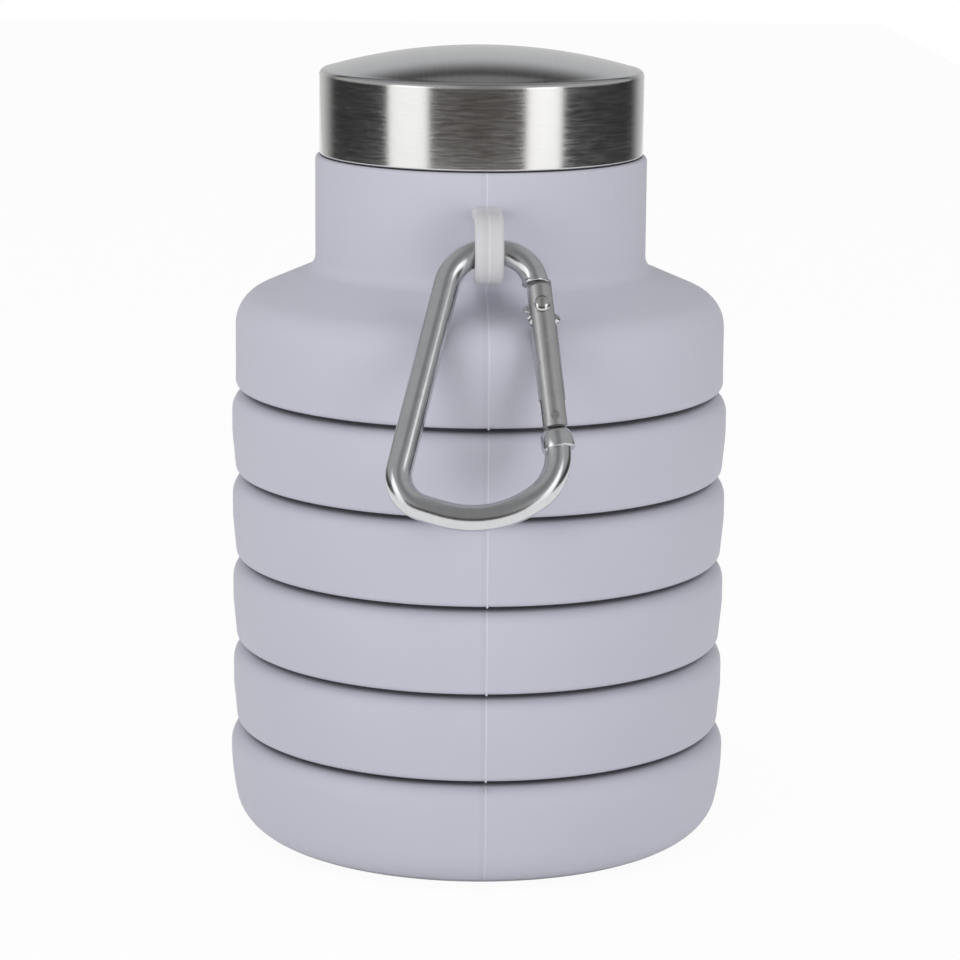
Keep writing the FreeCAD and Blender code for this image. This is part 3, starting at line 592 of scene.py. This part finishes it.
# ------------------------------------------------------------------ shoulder and neck
# The top of the same silicone moulding: a tall band that rounds over a shallow slope into the
# straight neck. The stiff collar sits inside the neck, below a thin rim round its top edge.
NECK_RADIUS = 24.6
NECK_TOP = 102.11
NECK_BEND = 2.5
RIM_RISE = 0.48
RIM_ROUND = 0.7
RIM_INSIDE = 23.35
COLLAR_SEAT = 21.5
COLLAR_FOOT = 88.51
THROAT = 19.2
THROAT_ROUND = 1.5
INNER_ROUND = 3.9
SHOULDER_RADIUS = 36.5
SHOULDER_BELLY = 4.5
SHOULDER_EDGE = 80.88
SHOULDER_ROUND = 5.5
SHOULDER_SKIN = 2.4
NECK_FOOT = 86.04
SLOPE = (NECK_FOOT - SHOULDER_EDGE) / (SHOULDER_RADIUS - NECK_RADIUS)


def slope_inside(radius):
    """Height of the inner face of the slope."""
    return SHOULDER_EDGE + (SHOULDER_RADIUS - radius) * SLOPE - SHOULDER_SKIN


lip = FIRST_LIP + BAND_PITCH * 4
shoulder = turned("shoulder_silicone", [
    (LIP_INSIDE, lip, CRISP), (LIP_RADIUS, lip, LIP_ROUND),
    (SHOULDER_RADIUS, lip + SHOULDER_BELLY, BELLY_ROUND),
    (SHOULDER_RADIUS, SHOULDER_EDGE, SHOULDER_ROUND), (NECK_RADIUS, NECK_FOOT, NECK_BEND),
    (NECK_RADIUS, NECK_TOP + RIM_RISE, RIM_ROUND), (RIM_INSIDE, NECK_TOP + RIM_RISE, 0.1),
    (RIM_INSIDE, NECK_TOP), (COLLAR_SEAT, NECK_TOP), (COLLAR_SEAT, COLLAR_FOOT),
    (THROAT, COLLAR_FOOT, CRISP), (THROAT, slope_inside(THROAT), THROAT_ROUND),
    (WALL_INSIDE, slope_inside(WALL_INSIDE), INNER_ROUND),
    (WALL_INSIDE, lip + LIP_THICK), (LIP_INSIDE, lip + LIP_THICK, CRISP)],
    nubs=[(LIP_RADIUS - NUB_IN, lip + NUB_UP)])
dress(shoulder, lilac_silicone)
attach(shoulder, "shoulder_body")
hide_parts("shoulder")

# ------------------------------------------------------------------ fold webs
# The thin silicone skins that turn inside out as the bottle opens. Each is moulded on to the
# waist of the cone below it and the lip of the band above it.
WEB_WALL = 0.9
WEB_CAP = 1.2
WEB_MESH = 0.45

for number in (5, 4, 3, 2, 1):
    lip = FIRST_LIP + BAND_PITCH * (5 - number)
    waist = lip - FOLD_SLIT + CONE_RISE
    web = turned("fold_web_%d_silicone" % number, [
        (LIP_INSIDE, lip + LIP_THICK), (LIP_INSIDE + WEB_WALL, lip + LIP_THICK),
        (WAIST + 1.5, waist - 0.2, 1.0), (WAIST + 0.3, waist + WEB_CAP, 0.8),
        (WAIST - CONE_WALL, waist + WEB_CAP, 0.5), (WAIST - CONE_WALL, waist), (WAIST, waist)],
        fine=WEB_MESH, sharp=60)
    dress(web, lilac_silicone)
    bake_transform(web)
    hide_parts("fold_web_%d" % number)

# ------------------------------------------------------------------ steel lid
# A cap drawn from stainless sheet: a brushed wall with a rolled hem, a tight edge and a satin
# domed top, left bare.
CAP_RADIUS = 24.0
CAP_FOOT = 102.73
CAP_EDGE = 115.25
CAP_TOP = 118.5
CAP_ROUND = 0.9
CAP_SKIN = 0.5
DOME_STEPS = 28
EDGE_LEAN = 74
EDGE_STEPS = 8
HEM_WIDE = 0.75
HEM_HIGH = 0.5
HEM_ROUND = 0.35
TOP_FACING = 0.55


def dome(edge, apex, foot):
    """Points over a shallow dome, from near the axis out to its edge."""
    height = apex - foot
    radius = (edge * edge + height * height) / (2 * height)
    outs = [edge * k / DOME_STEPS for k in range(DOME_STEPS + 1)]
    return [(out, apex - radius + math.sqrt(radius * radius - out ** 2)) for out in outs]


# Brushed: fine scratches in one direction, with a faint change of tone.
SCRATCH_TONE = (0.22, 0.87)
PATCH_SCALE = 60.0
PATCH_TONE = 0.03

brushed, inside, outside = new_group(
    "brushed",
    [("Along", "NodeSocketVector", (1.0, 1.0, 60.0)), ("Scale", "NodeSocketFloat", 60.0),
     ("Roughness", "NodeSocketFloat", 0.25), ("Spread", "NodeSocketFloat", 0.12)],
    [("Roughness", "NodeSocketFloat"), ("Height", "NodeSocketFloat"), ("Tone", "NodeSocketFloat")])
place = brushed.nodes.new("ShaderNodeTexCoord")
stretch = brushed.nodes.new("ShaderNodeVectorMath")
stretch.operation = "MULTIPLY"
brushed.links.new(place.outputs["Object"], stretch.inputs[0])
brushed.links.new(inside.outputs["Along"], stretch.inputs[1])
scratch = brushed.nodes.new("ShaderNodeTexNoise")
scratch.inputs["Detail"].default_value = 6.0
scratch.inputs["Roughness"].default_value = 0.7
brushed.links.new(stretch.outputs[0], scratch.inputs["Vector"])
brushed.links.new(inside.outputs["Scale"], scratch.inputs["Scale"])
patch = noise(brushed, place.outputs["Object"], PATCH_SCALE, 3.0)
centred = node_math(brushed, "SUBTRACT", scratch.outputs["Fac"], 0.5)
rough = node_math(brushed, "MULTIPLY_ADD", centred, inside.outputs["Spread"],
                  inside.outputs["Roughness"])
brushed.links.new(rough, outside.inputs["Roughness"])
brushed.links.new(scratch.outputs["Fac"], outside.inputs["Height"])
tone = node_math(brushed, "MULTIPLY_ADD", scratch.outputs["Fac"], *SCRATCH_TONE)
tone = node_math(brushed, "MULTIPLY_ADD", patch, PATCH_TONE, tone)
brushed.links.new(tone, outside.inputs["Tone"])


def metal(name, color, roughness, along, scale, spread, bump, depth, anisotropy=0.0, turn=0.0):
    """A bare metal with scratches in one direction."""
    material = bpy.data.materials.new(name)
    material.use_nodes = True
    tree = material.node_tree
    shader = tree.nodes["Principled BSDF"]
    shader.inputs["Metallic"].default_value = 1.0
    shader.inputs["Anisotropic"].default_value = anisotropy
    shader.inputs["Anisotropic Rotation"].default_value = turn
    marks = place_group(tree, brushed, Along=along, Scale=scale, Roughness=roughness,
                        Spread=spread)
    tree.links.new(node_scaled(tree, color, marks.outputs["Tone"]), shader.inputs["Base Color"])
    tree.links.new(marks.outputs["Roughness"], shader.inputs["Roughness"])
    tree.links.new(bumped(tree, marks.outputs["Height"], bump, depth), shader.inputs["Normal"])
    return material


steel_wall = metal("steel_wall", (0.740, 0.738, 0.727), roughness=0.205, along=(1.0, 1.0, 11.0),
                   scale=260.0, spread=0.30, bump=0.20, depth=0.00003, anisotropy=0.55, turn=0.25)
steel_top = metal("steel_top", (0.530, 0.538, 0.552), roughness=0.11, along=(40.0, 1.0, 1.0),
                  scale=60.0, spread=0.08, bump=0.06, depth=0.00003)

outer_dome = dome(CAP_RADIUS - CAP_ROUND, CAP_TOP, CAP_EDGE)
inner_dome = dome(CAP_RADIUS - CAP_ROUND - 0.05, CAP_TOP - CAP_SKIN, CAP_EDGE - CAP_SKIN)
edge = []
for k in range(1, EDGE_STEPS + 1):
    lean = math.radians(EDGE_LEAN - EDGE_LEAN * k / EDGE_STEPS)
    edge.append((CAP_RADIUS - CAP_ROUND + CAP_ROUND * math.cos(lean),
                 CAP_EDGE - CAP_ROUND + CAP_ROUND * math.sin(lean)))
lid = turned("lid_steel", outer_dome + edge + [
    (CAP_RADIUS, CAP_FOOT, HEM_ROUND), (CAP_RADIUS - HEM_WIDE, CAP_FOOT, 0.3),
    (CAP_RADIUS - HEM_WIDE, CAP_FOOT + HEM_HIGH), (CAP_RADIUS - CAP_SKIN, CAP_FOOT + HEM_HIGH),
    (CAP_RADIUS - CAP_SKIN, CAP_EDGE - CAP_ROUND),
    (CAP_RADIUS - CAP_ROUND, CAP_EDGE - CAP_SKIN - 0.1)] + inner_dome[::-1][1:], sharp=28)
dress(lid, steel_wall)
lid.data.materials.append(steel_top)
for face in lid.data.polygons:
    if face.normal.z > TOP_FACING and face.center.z > (CAP_EDGE - CAP_ROUND) * MM:
        face.material_index = 1
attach(lid, "lid")
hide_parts("lid_shell")

# ------------------------------------------------------------------ liner, collar and gasket
# Plain grey polypropylene with the screw threads, and a soft rubber seal on the rim. They show
# only when the lid is off, and as a dark line under it.
PLASTIC_GRAIN = (0.12, 0.00004)


def plastic(name, color, roughness):
    """Moulded plastic or rubber with a faint grain."""
    material = bpy.data.materials.new(name)
    material.use_nodes = True
    tree = material.node_tree
    shader = tree.nodes["Principled BSDF"]
    skin = place_group(tree, soft_skin, Color=(*color, 1), Roughness=roughness, Clouding=0.04)
    tree.links.new(skin.outputs["Color"], shader.inputs["Base Color"])
    tree.links.new(skin.outputs["Roughness"], shader.inputs["Roughness"])
    tree.links.new(bumped(tree, skin.outputs["Height"], *PLASTIC_GRAIN), shader.inputs["Normal"])
    return material


grey_plastic = plastic("grey_plastic", (0.30, 0.30, 0.33), roughness=0.42)
seal_rubber = plastic("seal_rubber", (0.62, 0.62, 0.62), roughness=0.5)
for name, material in (("neck_collar", grey_plastic), ("lid_liner", grey_plastic),
                       ("lid_gasket", seal_rubber)):
    dress(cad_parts[name], material)

# ------------------------------------------------------------------ neck loop
# A strap of paler, slightly clear silicone, moulded as a flat ring on the front of the neck. It
# flares a little where it joins, and the hook's rod passes through its hole.
LOOP_WIDE = 4.05
LOOP_REACH = 30.3
LOOP_HEIGHT = 92.71
LOOP_OUTER = 5.05
LOOP_HOLE = 3.1
LOOP_SOFT = 0.7
LOOP_SUNK = 0.35
FLARE = 0.5
FLARE_RUN = 1.3
STRAIGHT_STEPS = 12
ROUND_STEPS = 32
CLEAR_GREY = (0.60, 0.60, 0.62)
# The loop's seam colour is lighter too: a painted highlight along its ridge.
CLEAR_GREY_SEAM_HIGHLIGHT = (0.66, 0.66, 0.68)
CLEAR_DEPTH = (0.0022, 0.0020, 0.0018)


def skin_rings(mesh, rings):
    """Joins rings of equal count into a closed skin."""
    rings = [[mesh.verts.new(point) for point in ring] for ring in rings]
    for low, high in zip(rings, rings[1:]):
        for k in range(len(low)):
            n = (k + 1) % len(low)
            mesh.faces.new((low[k], low[n], high[n], high[k]))
    mesh.faces.new(rings[0][::-1])
    mesh.faces.new(rings[-1])


def strap_section(wide, thick, soft, steps=4):
    """A rounded rectangle across the strap."""
    points = []
    for sx, st, start in ((1, 1, 0), (-1, 1, 90), (-1, -1, 180), (1, -1, 270)):
        for k in range(steps + 1):
            turn = math.radians(start + 90 * k / steps)
            points.append((sx * (wide / 2 - soft) + soft * math.cos(turn),
                           st * (thick / 2 - soft) + soft * math.sin(turn)))
    return points


def strap(name):
    """Sweeps the strap out from the neck, round the hole and back."""
    middle = (LOOP_OUTER + LOOP_HOLE) / 2
    thick = LOOP_OUTER - LOOP_HOLE
    root = NECK_RADIUS - LOOP_SUNK
    path = []
    for k in range(STRAIGHT_STEPS + 1):
        path.append((root + (LOOP_REACH - root) * k / STRAIGHT_STEPS, LOOP_HEIGHT + middle, 0, 1))
    for k in range(1, ROUND_STEPS + 1):
        turn = math.pi / 2 - math.pi * k / ROUND_STEPS
        path.append((LOOP_REACH + middle * math.cos(turn), LOOP_HEIGHT + middle * math.sin(turn),
                     math.cos(turn), math.sin(turn)))
    for k in range(1, STRAIGHT_STEPS + 1):
        path.append((LOOP_REACH + (root - LOOP_REACH) * k / STRAIGHT_STEPS, LOOP_HEIGHT - middle,
                     0, -1))
    mesh = bmesh.new()
    rings = []
    for out, high, nx, nz in path:
        flare = FLARE * max(0.0, 1 - (out - root) / FLARE_RUN) ** 2
        section = strap_section(LOOP_WIDE + flare, thick + flare, LOOP_SOFT)
        rings.append([(a * MM, -(out + b * nx) * MM, (high + b * nz) * MM) for a, b in section])
    skin_rings(mesh, rings)
    return finished(mesh, name, 50)


loop = strap("loop_silicone")
clear_silicone = silicone("clear_grey_silicone", CLEAR_GREY, roughness=0.45,
                          seam_highlight_color=CLEAR_GREY_SEAM_HIGHLIGHT, seam_width=0.00020)
shader = clear_silicone.node_tree.nodes["Principled BSDF"]
shader.inputs["Subsurface Weight"].default_value = 0.35
shader.inputs["Subsurface Radius"].default_value = CLEAR_DEPTH
shader.inputs["Subsurface Scale"].default_value = 1.0
dress(loop, clear_silicone)
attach(loop, "shoulder_body")
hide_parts("carabiner_loop")

# ------------------------------------------------------------------ snap hook frame
# A bent aluminium rod, tumbled bright, which hangs in the loop and leans out over the shoulder.
# A rounded collar and a flat tongue take the gate's lower end, and flat ears hold the rivet.
# It is drawn in its own plane, in mm from the point where it hangs.
HANG = (0, -30.7, 92.61)
LEAN = math.radians(-29.5)
SLANT = math.radians(5.3)
ROD = 1.85
RIVET = (7.3, -8.75)
GATE_ABOVE = 3.45
NOSE_TOP = 18.15
NOSE_HIGH = 2.55
# Where the rod turns: the straight legs at its ends, the way from one bend to the next, and the
# bends' radii.
NOSE_LEG = 5.0
BOW_LEG = 4.6
TOE_WAY = (-9.45, -6.59)
BACK_WAY = (-13.5, 4.34)
CROWN_WAY = (-10.8, 0.784)
NOSE_BEND = 7.5
TOE_BEND = 14.5
BACK_BEND = 4.8
CROWN_BEND = 6.2
BOW_BEND = 5.2
BOW_ASIDE = 0.42
ROD_STEP = 0.8
# The bow's rolled end: distance from the end, and how much fuller than the rod.
ROLLED_END = ((0.85, 0), (0.62, 0.02), (0.45, 0.10), (0.30, 0.12), (0.18, 0.05), (0.10, -0.1),
              (0.08, -0.3))
# The collar as (radius, height), turned.
COLLAR = [(1.5, -1.50), (2.24, -1.46), (2.33, -1.40), (2.35, -1.28), (2.34, -0.8), (2.30, -0.3),
          (2.24, 0.2), (2.15, 0.62), (2.02, 0.94), (1.86, 1.12), (1.65, 1.21), (0.8, 1.24)]
COLLAR_DROP = 1.3
COLLAR_LEAN = math.radians(-5)
# The nose's tongue and the bow's ears as (x, z) outlines of flat plates.
TONGUE = [(-1.2, -NOSE_TOP - 0.6), (1.4, -NOSE_TOP - 0.6), (1.4, -NOSE_TOP + 3.6),
          (-1.2, -NOSE_TOP + 3.6)]
TONGUE_THICK = 1.3
EARS = [(-1.7, 4.0), (-1.75, 0.6), (-2.3, 0.42), (-2.6, 0.1), (-2.64, -0.28), (-2.4, -0.6),
        (-2.08, -0.75), (-2.22, -1.05), (-2.24, -1.35), (-2.02, -1.6), (-2.08, -1.9),
        (-1.9, -2.2), (-1.6, -2.4), (1.6, -2.5), (2.1, -2.35), (2.4, -2.05), (2.38, -1.6),
        (2.1, -1.32), (1.7, -1.25), (1.7, 4.0)]
EARS_THICK = 1.5
EARS_SOFT = 0.42
hook_plane = Matrix.Translation(Vector(HANG) * MM) @ Matrix.Rotation(LEAN, 4, "X")
gate_plane = (hook_plane @ Matrix.Translation((RIVET[0] * MM, 0, RIVET[1] * MM))
              @ Matrix.Rotation(-SLANT, 4, "Y"))


def on_gate(below, aside=0.0):
    """A point on the gate's middle line, that far below the rivet."""
    return (RIVET[0] + below * math.sin(SLANT) - aside, RIVET[1] - below * math.cos(SLANT))


def bar(mesh, path, plane, sides=40):
    """A round bar along (x, z, radius) points in a plane."""
    rings = []
    for i, (x, z, radius) in enumerate(path):
        before, after = path[max(i - 1, 0)], path[min(i + 1, len(path) - 1)]
        way = Vector((after[0] - before[0], after[1] - before[1])).normalized()
        turns = [math.tau * k / sides for k in range(sides)]
        rings.append([plane @ (Vector((x - way.y * radius * math.cos(t), radius * math.sin(t),
                                       z + way.x * radius * math.cos(t))) * MM) for t in turns])
    skin_rings(mesh, rings)


def lathe(mesh, profile, plane, sides=48):
    """A skin of (radius, z) points turned about a plane's z axis."""
    turns = [math.tau * k / sides for k in range(sides)]
    skin_rings(mesh, [[plane @ (Vector((radius * math.cos(t), radius * math.sin(t), high)) * MM)
                       for t in turns] for radius, high in profile])


def plate(mesh, outline, thick, plane, soft=0.15):
    """A flat plate with the given (x, z) outline and soft edges."""
    middle = Vector((sum(p[0] for p in outline), sum(p[1] for p in outline))) / len(outline)
    rings = []
    for inset, deep in ((soft, -thick / 2), (0, soft - thick / 2), (0, thick / 2 - soft),
                        (soft, thick / 2)):
        ring = []
        for x, z in outline:
            way = (middle - Vector((x, z))).normalized() * inset
            ring.append(plane @ (Vector((x + way.x, deep, z + way.y)) * MM))
        rings.append(ring)
    skin_rings(mesh, rings)


nose_x, nose_z = on_gate(NOSE_TOP + NOSE_HIGH)
heel_z = nose_z - NOSE_LEG
toe_x, toe_z = nose_x + TOE_WAY[0], heel_z + TOE_WAY[1]
bow_x, bow_z = on_gate(-GATE_ABOVE - BOW_LEG, BOW_ASIDE)
stem = on_gate(-GATE_ABOVE, BOW_ASIDE)
bend = rounded([
    (nose_x, nose_z), (nose_x, heel_z, NOSE_BEND), (toe_x, toe_z, TOE_BEND),
    (toe_x + BACK_WAY[0], toe_z + BACK_WAY[1], BACK_BEND),
    (bow_x + CROWN_WAY[0], bow_z + CROWN_WAY[1], CROWN_BEND),
    (bow_x, bow_z, BOW_BEND), stem], turns=20)
path = []
for here, after in zip(bend, bend[1:]):
    parts = max(1, math.ceil((after - here).length / ROD_STEP))
    path += [(*here.lerp(after, k / parts), ROD) for k in range(parts)]
end = bend[-1]
up = (bend[-2] - end).normalized()
for back, swell in ROLLED_END:
    path.append((end.x + up.x * back, end.y + up.y * back, ROD + swell))
mesh = bmesh.new()
bar(mesh, path, hook_plane)
collar_plane = (gate_plane @ Matrix.Translation((0, 0, -(NOSE_TOP + COLLAR_DROP) * MM))
                @ Matrix.Rotation(COLLAR_LEAN, 4, "Y"))
lathe(mesh, COLLAR, collar_plane)
plate(mesh, TONGUE, TONGUE_THICK, gate_plane)
plate(mesh, EARS, EARS_THICK, gate_plane, EARS_SOFT)
frame_rod = finished(mesh, "frame_rod_bright", 40)
bright_aluminium = metal("bright_aluminium", (0.670, 0.678, 0.690), roughness=0.21,
                         along=(1.0, 1.0, 1.0), scale=700.0, spread=0.14, bump=0.10,
                         depth=0.00004)
dress(frame_rod, bright_aluminium)
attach(frame_rod, "hook")
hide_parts("hook_frame")

# ------------------------------------------------------------------ gate
# A straight piece of the same rod, slotted at both ends and drilled for its spring, with coarser
# tumbling marks than the frame. Its latch pin is ground flush and takes the same marks.
gate_aluminium = metal("gate_aluminium", (0.62, 0.622, 0.625), roughness=0.30,
                       along=(1.0, 1.0, 0.5), scale=950.0, spread=0.24, bump=0.38,
                       depth=0.00006)
for name in ("gate", "latch_pin"):
    dress(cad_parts[name], gate_aluminium)

# ------------------------------------------------------------------ rivet, spring and plunger
# Steel parts of the gate: a rivet with a low domed head on either face, and the spring and
# plunger inside the gate.
RIVET_HEAD = [(0.7, 0.0), (0.7, 1.4), (1.08, 1.70), (1.12, 1.80), (1.10, 1.90), (1.02, 2.02),
              (0.88, 2.14), (0.70, 2.24), (0.50, 2.31), (0.30, 2.35), (0.12, 2.365),
              (0.03, 2.37)]

bright_steel = metal("bright_steel", (0.62, 0.62, 0.61), roughness=0.15, along=(1.0, 1.0, 1.0),
                     scale=900.0, spread=0.08, bump=0.04, depth=0.00003)
mesh = bmesh.new()
for side in (-1, 1):
    face = gate_plane @ Matrix.Rotation(math.radians(-90 * side), 4, "X")
    lathe(mesh, RIVET_HEAD, face)
rivet = finished(mesh, "rivet_steel", 50)
dress(rivet, bright_steel)
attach(rivet, "gate_body")
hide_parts("hinge_rivet")
for name in ("gate_spring", "spring_plunger"):
    dress(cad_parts[name], bright_steel)
